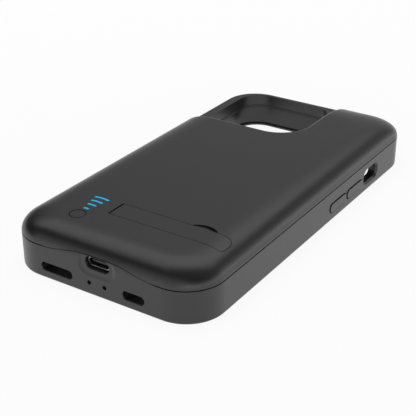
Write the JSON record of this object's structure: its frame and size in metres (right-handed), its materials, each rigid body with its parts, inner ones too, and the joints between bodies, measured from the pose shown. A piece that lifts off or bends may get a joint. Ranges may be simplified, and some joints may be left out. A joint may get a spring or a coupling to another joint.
{
  "type": "battery charging case",
  "caption": "Battery case for a phone: a satin black bumper frame and crowned back with a fold-out stand, charge lights, a charging socket and a camera window.",
  "frame": {"origin": "centre of the case's plan, on the surface that its open front lies on", "axes": "+Z out of the back, +Y towards the end with the camera window, +X towards the volume keys"},
  "size_m": [0.0793, 0.1572, 0.0189],
  "materials": {
    "shell_black": "fine satin moulding, soft to the touch",
    "stand_black": "same satin moulding as the back",
    "key_black": "satin",
    "tray_black": "plain moulding",
    "cell_foil": "laminated foil",
    "tape_white": "double-sided tape",
    "nickel": "plain strip",
    "board_green": "solder mask",
    "screw_steel": "black zinc",
    "chip_black": "moulded package",
    "coil_grey": "pressed ferrite",
    "switch_metal": "stamped cover",
    "led_white": "moulded chip",
    "light_blue": "clear moulding lit in blue",
    "socket_steel": "drawn stainless steel",
    "socket_black": "glass-filled moulding",
    "contact_gold": "gold flash",
    "plug_steel": "nickel plated",
    "flex_amber": "polyimide film",
    "pin_steel": "ground rod"
  },
  "bodies": {
    "case": {"front_frame": "shell_black", "back_cover": "shell_black", "inner_tray": "tray_black", "cell_tape": "tape_white", "battery_cell": "cell_foil", "cell_tabs": "nickel", "main_board": "board_green", "board_screws": "screw_steel", "board_chips": "chip_black", "power_coil": "coil_grey", "button_switch": "switch_metal", "indicator_leds": "led_white", "light_guide": "light_blue", "socket_shell": "socket_steel", "socket_tongue": "socket_black", "socket_contacts": "contact_gold", "phone_plug": "plug_steel", "plug_contacts": "contact_gold", "plug_base": "chip_black", "plug_flex": "flex_amber", "flex_socket": "socket_black", "hinge_pin": "pin_steel"},
    "stand": {"kickstand": "stand_black"},
    "button": {"power_button": "key_black"},
    "volume_up": {"volume_up_key": "key_black"},
    "volume_down": {"volume_down_key": "key_black"}
  },
  "joints": [
    {"name": "stand_hinge", "type": "hinge", "parent": "case", "child": "stand", "pos_m": [-0.00975, -0.05402, 0.01784], "axis": [0, -1, 0], "range_deg": [0, 70]},
    {"name": "power_press", "type": "slide", "parent": "case", "child": "button", "axis": [0, 0, -1], "range_m": [0, 0.0003], "stiffness_N_per_m": 800},
    {"name": "volume_up_press", "type": "slide", "parent": "case", "child": "volume_up", "axis": [-1, 0, 0], "range_m": [0, 0.00045], "stiffness_N_per_m": 600},
    {"name": "volume_down_press", "type": "slide", "parent": "case", "child": "volume_down", "axis": [-1, 0, 0], "range_m": [0, 0.00045], "stiffness_N_per_m": 600}
  ]
}
